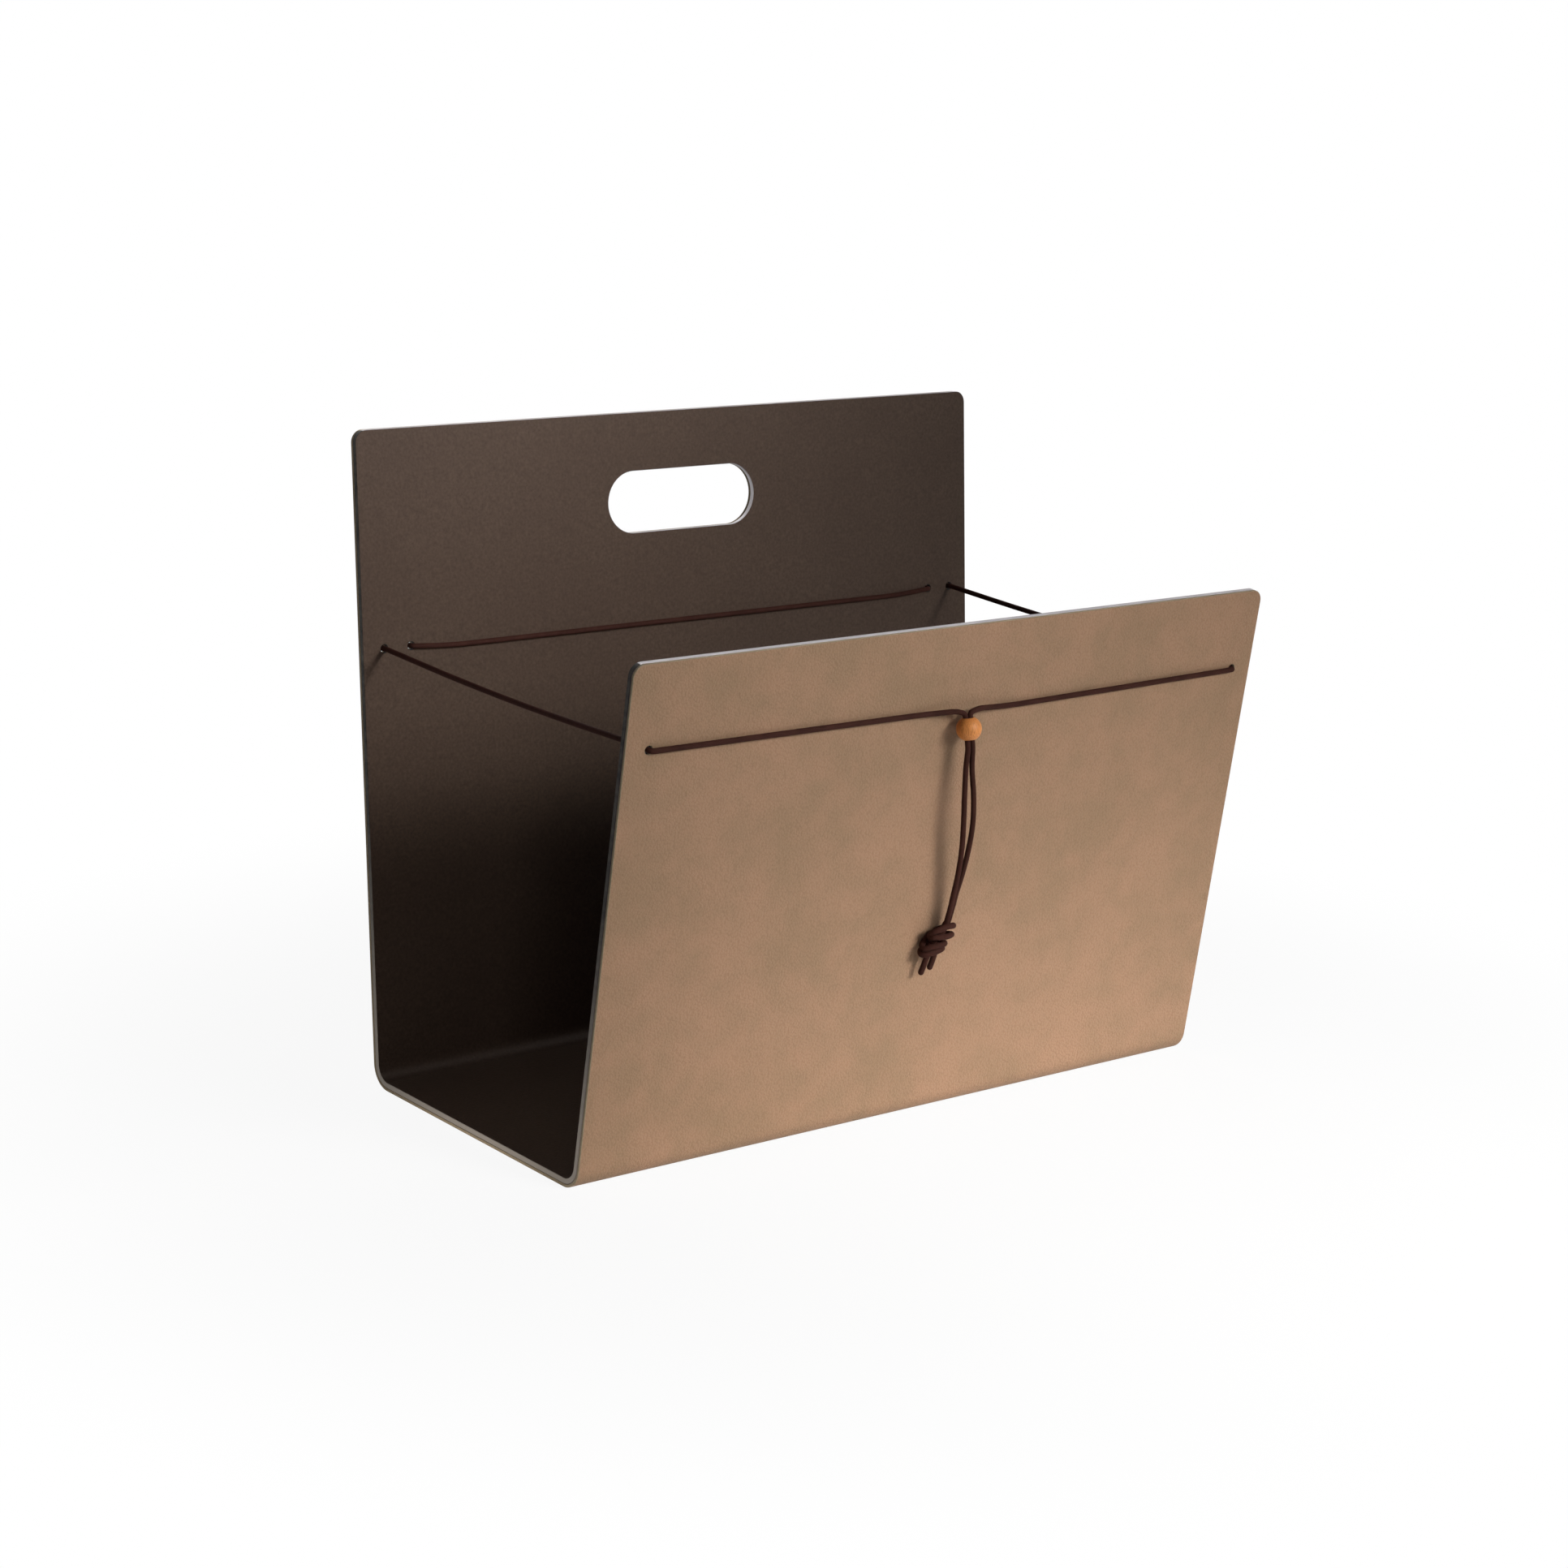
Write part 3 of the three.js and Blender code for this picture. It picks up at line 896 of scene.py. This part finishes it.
relief = add_node(
    tree,
    "ShaderNodeBump",
    {"Strength": 0.35, "Distance": crease_depth, "Height": creases.outputs["Fac"]},
)
finish = add_node(
    tree,
    "ShaderNodeBsdfPrincipled",
    {
        "Base Color": brown.outputs[2],
        "Roughness": 0.6,
        "Specular IOR Level": 0.02,
        "IOR": 1.5,
        "Normal": relief.outputs["Normal"],
    },
)
add_node(tree, "ShaderNodeOutputMaterial", {"Surface": finish.outputs["BSDF"]})
lacing.data.materials.append(dyed_cord)
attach(lacing, "basket")
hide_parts("lacing_cord")


# Hanging ends: the same cord, two free strands from under the bead to the knot. They hang a
# little apart, bow away from the front and drift to the right, as the set of the leather
# leaves them.
def below_bead(place):
    # A place is given in millimetres: across and down from the bead, and out from the front.
    across, down, out = (MM * size for size in place)
    return front.beside(bead_off_centre + across, bead_slope - down, out)


def smooth_line(points, count):
    # Points evenly spread along a centripetal Catmull-Rom curve through the given ones, and the
    # curve's length
    span_steps = 16
    outer = [points[0] * 2 - points[1], *points, points[-1] * 2 - points[-2]]
    line = []
    for p0, p1, p2, p3 in zip(outer, outer[1:], outer[2:], outer[3:]):
        t1 = (p1 - p0).length ** 0.5
        t2 = t1 + (p2 - p1).length ** 0.5
        t3 = t2 + (p3 - p2).length ** 0.5
        for k in range(span_steps):
            t = t1 + (t2 - t1) * k / span_steps
            a1 = p0.lerp(p1, t / t1)
            a2 = p1.lerp(p2, (t - t1) / (t2 - t1))
            a3 = p2.lerp(p3, (t - t2) / (t3 - t2))
            b1 = a1.lerp(a2, t / t2)
            b2 = a2.lerp(a3, (t - t1) / (t3 - t1))
            line.append(b1.lerp(b2, (t - t1) / (t2 - t1)))
    line.append(points[-1])
    walked = [0]
    for one, other in zip(line, line[1:]):
        walked.append(walked[-1] + (other - one).length)
    spread = []
    for k in range(count):
        target = walked[-1] * k / (count - 1)
        m = max(n for n in range(len(line) - 1) if walked[n] <= target)
        share = (target - walked[m]) / (walked[m + 1] - walked[m])
        spread.append(line[m].lerp(line[m + 1], share))
    return spread, walked[-1]


def lay_strand(cord, points):
    spline = cord.data.splines.new("BEZIER")
    spline.bezier_points.add(len(points) - 1)
    for joint, at in zip(spline.bezier_points, points):
        joint.co = at
        joint.handle_left_type = joint.handle_right_type = "AUTO"
    return spline


left_tail_places = [
    (-0.6, 18.6, 10.2),
    (-0.2, 32.6, 11.7),
    (1.2, 45.6, 12.2),
    (2.9, 59.6, 11.8),
    (4.1, 72.6, 10.4),
    (4.4, 83.6, 9),
    (4.5, 91.6, 8.1),
    (4.3, 97.6, 7.2),
]
right_tail_places = [
    (2.8, 18.6, 10.6),
    (4.3, 32.6, 13),
    (5.3, 45.6, 14),
    (6.3, 59.6, 12.6),
    (7.6, 72.6, 9.6),
    (7.6, 83.6, 7.4),
    (7.5, 91.6, 6.3),
    (7.3, 97.6, 5.4),
]
tail_straight = 3 * MM
tail_points = 24
tails = []
for name, hand, places in (
    ("hanging_end_left", -1, left_tail_places),
    ("hanging_end_right", 1, right_tail_places),
):
    start = -bead_half - cord_gap
    straight = [in_bore(hand, start), in_bore(hand, start - tail_straight)]
    line, length = smooth_line(straight + [below_bead(place) for place in places], tail_points)
    tail = new_cord(name, cord_radius, resolution=6)
    lay_strand(tail, line)
    tail.data.materials.append(dyed_cord)
    tails.append((tail, line, length))


# Knot: both ends tied together in one overhand knot and pulled tight, with two short cut
# ends below it. The turns press into each other, so they look a little thicker.
def in_knot(place):
    # A place is given in millimetres: across and up from the knot's middle, and out from the
    # front.
    across, up, out = place
    knot_across = 2.2
    knot_down = 105.5
    return below_bead((knot_across + across, knot_down - up, out))


left_strand_places = [
    (1.2, 4.4, 6.6),
    (-0.2, 0.9, 6.2),
    (-0.4, -2, 5),
    (1.4, -3.6, 4.4),
    (2.8, -3.2, 6.4),
    (1.4, -2.6, 8.8),
    (-2.4, -2.6, 9.6),
    (-6.6, -3.2, 9),
    (-9, -4.6, 6.4),
    (-7.4, -4.2, 3),
    (-2.4, -0.6, 1.9),
    (3.2, 2.4, 2.4),
    (7, 4.5, 5.8),
    (5.2, 6, 8.8),
    (-0.3, 6.4, 9.8),
    (-4.3, 5.2, 9.2),
    (-5.9, 3.2, 7),
    (-5, 1, 4.6),
    (-3.6, -1.6, 4.2),
    (-4.4, -5.4, 4.8),
    (-5.3, -8, 5.6),
    (-6.4, -13, 5.4),
    (-7.4, -17.6, 5),
]
right_strand_places = [
    (4.2, 4.4, 5),
    (2.4, 0.9, 4.6),
    (1.2, -2, 3.6),
    (1.8, -5.4, 3.4),
    (2.4, -5.8, 6),
    (0.2, -5.2, 8.6),
    (-3.9, -5.7, 9.4),
    (-7.5, -6.6, 8.6),
    (-9.4, -7.7, 6),
    (-8.2, -7.2, 3.2),
    (-3.9, -5, 1.9),
    (1.6, -1.8, 2),
    (6.4, 0, 4.6),
    (6, 1, 7.8),
    (0.8, 1.4, 9.8),
    (-3.4, 1.7, 9.8),
    (-5.6, 1.2, 8),
    (-4.6, -0.4, 5.4),
    (-2.4, -2.8, 6.2),
    (-1.2, -5.6, 5.8),
    (-0.9, -8.6, 5.4),
    (-1.6, -12.6, 5.2),
    (-2.3, -15.7, 5),
]
knot_cord_radius = 1.425 * MM
knot_points = 84
# How far past its last point a cut end reaches, and how thick it still is, in cord radii
cut_end = ((0.35, 0.93), (0.7, 0.7), (0.92, 0.35))
overhand_knot = new_cord("overhand_knot", knot_cord_radius, resolution=6)
for (tail, line, length), places in zip(tails, (left_strand_places, right_strand_places)):
    strand, _ = smooth_line([line[-1]] + [in_knot(place) for place in places], knot_points)
    last = strand[-1]
    way_out = (last - strand[-2]).normalized()
    strand += [last + way_out * (reach * knot_cord_radius) for reach, thickness in cut_end]
    spline = lay_strand(overhand_knot, strand)
    spline.bezier_points[0].radius = cord_radius / knot_cord_radius
    for point, (reach, thickness) in zip(spline.bezier_points[-len(cut_end):], cut_end):
        point.radius = thickness
overhand_knot.data.materials.append(dyed_cord)
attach(overhand_knot, "basket")
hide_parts("knot")

# Each hanging end is as long as the photograph shows it, and ends in the knot.
for (tail, line, length), node in zip(tails, ("tail_left", "tail_right")):
    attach(tail, "basket")
    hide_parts(node)


# Floor and light: a plain white studio sweep. The key is a gridded soft box, low to the right
# of the camera. It is aimed at the floor before the basket, so that the front wall is lit most
# near its foot. A small one above it reaches over the front to the inner face of the back, and
# a large one behind lights the top edges. Two weak ones on the left reach into the open end and
# the cut edges near the floor. The room is dim.
floor_reach = 6000 * MM
floor_gap = 0.05 * MM
floor_mesh = bpy.data.meshes.new("floor")
bm = bmesh.new()
bmesh.ops.create_grid(bm, x_segments=1, y_segments=1, size=floor_reach)
bmesh.ops.translate(bm, verts=bm.verts[:], vec=(0, 0, -floor_gap))
bm.to_mesh(floor_mesh)
bm.free()
floor = bpy.data.objects.new("floor", floor_mesh)
scene.collection.objects.link(floor)


def direct_rays(tree):
    # 1 for a ray that comes from the camera, off a gloss or through glass, and 0 for others
    seen = add_node(tree, "ShaderNodeLightPath")
    either = add_node(
        tree,
        "ShaderNodeMath",
        {0: seen.outputs["Is Camera Ray"], 1: seen.outputs["Is Glossy Ray"]},
        operation="ADD",
    )
    every = add_node(
        tree,
        "ShaderNodeMath",
        {0: either.outputs["Value"], 1: seen.outputs["Is Transmission Ray"]},
        operation="ADD",
        use_clamp=True,
    )
    return every.outputs["Value"]


# Studio paper: matt white, lit beyond white all round, so that it fades from the basket's soft
# shadow close by to a clear white ground further out.
shadow_ground = 220 * MM
clear_ground = 550 * MM
whitened_share = 0.92
paper = bpy.data.materials.new("white_studio_paper")
tree = node_tree(paper)
place = add_node(tree, "ShaderNodeTexCoord").outputs["Object"]
away = add_node(tree, "ShaderNodeVectorMath", {0: place}, operation="LENGTH")
fade = add_node(
    tree,
    "ShaderNodeMapRange",
    {
        "Value": away.outputs["Value"],
        "From Min": shadow_ground,
        "From Max": clear_ground,
        "To Min": whitened_share,
        "To Max": 1,
    },
    interpolation_type="SMOOTHSTEP",
)
share = add_node(
    tree,
    "ShaderNodeMath",
    {0: direct_rays(tree), 1: fade.outputs["Result"]},
    operation="MULTIPLY",
)
matt = add_node(tree, "ShaderNodeBsdfDiffuse", {"Color": linear("f2f1ef")})
white = add_node(tree, "ShaderNodeEmission", {"Color": linear("ffffff"), "Strength": 1})
sweep = add_node(
    tree,
    "ShaderNodeMixShader",
    {0: share.outputs["Value"], 1: matt.outputs["BSDF"], 2: white.outputs["Emission"]},
)
add_node(tree, "ShaderNodeOutputMaterial", {"Surface": sweep.outputs["Shader"]})
floor_mesh.materials.append(paper)

# Room: dim and a little blue in what it lights, and plain white where it is seen or mirrored.
world = bpy.data.worlds.new("studio")
scene.world = world
tree = node_tree(world)
room = add_node(tree, "ShaderNodeBackground", {"Color": linear("dbe6ff"), "Strength": 0.036})
white = add_node(tree, "ShaderNodeBackground", {"Color": linear("ffffff"), "Strength": 1})
sky = add_node(
    tree,
    "ShaderNodeMixShader",
    {0: direct_rays(tree), 1: room.outputs["Background"], 2: white.outputs["Background"]},
)
add_node(tree, "ShaderNodeOutputWorld", {"Surface": sky.outputs["Shader"]})

# Each soft box has its place, what it is aimed at, its side in metres, the spread that its grid
# lets through in degrees, its power in watts and its tint.
for name, place, target, size, spread, power, tint in (
    ("key_box", (0.28, -1.05, 0.33), (0.05, -0.12, -0.28), 0.6, 39, 2.45, "ffffff"),
    ("high_box", (0.45, -1.08, 0.95), (-0.12, 0.12, 0.45), 0.45, 28, 0.97, "ffffff"),
    ("fill_box", (-0.75, -1, 0.5), (-0.22, 0.1, 0.22), 0.4, 24, 0.08, "ffffff"),
    ("side_box", (-0.75, 0.04, 0.05), (-0.19, 0, -0.02), 0.08, 22, 0.03, "fffaf4"),
    ("rear_box", (0.35, 1.6, 1.3), (0, 0, 0.14), 1, 120, 3.5, "ffffff"),
):
    light = bpy.data.lights.new(name, "AREA")
    light.shape = "SQUARE"
    light.size = size
    light.spread = math.radians(spread)
    light.energy = power
    light.color = linear(tint)[:3]
    lamp = bpy.data.objects.new(name, light)
    scene.collection.objects.link(lamp)
    lamp.location = place
    toward = Vector(target) - Vector(place)
    lamp.rotation_euler = toward.to_track_quat("-Z", "Y").to_euler()
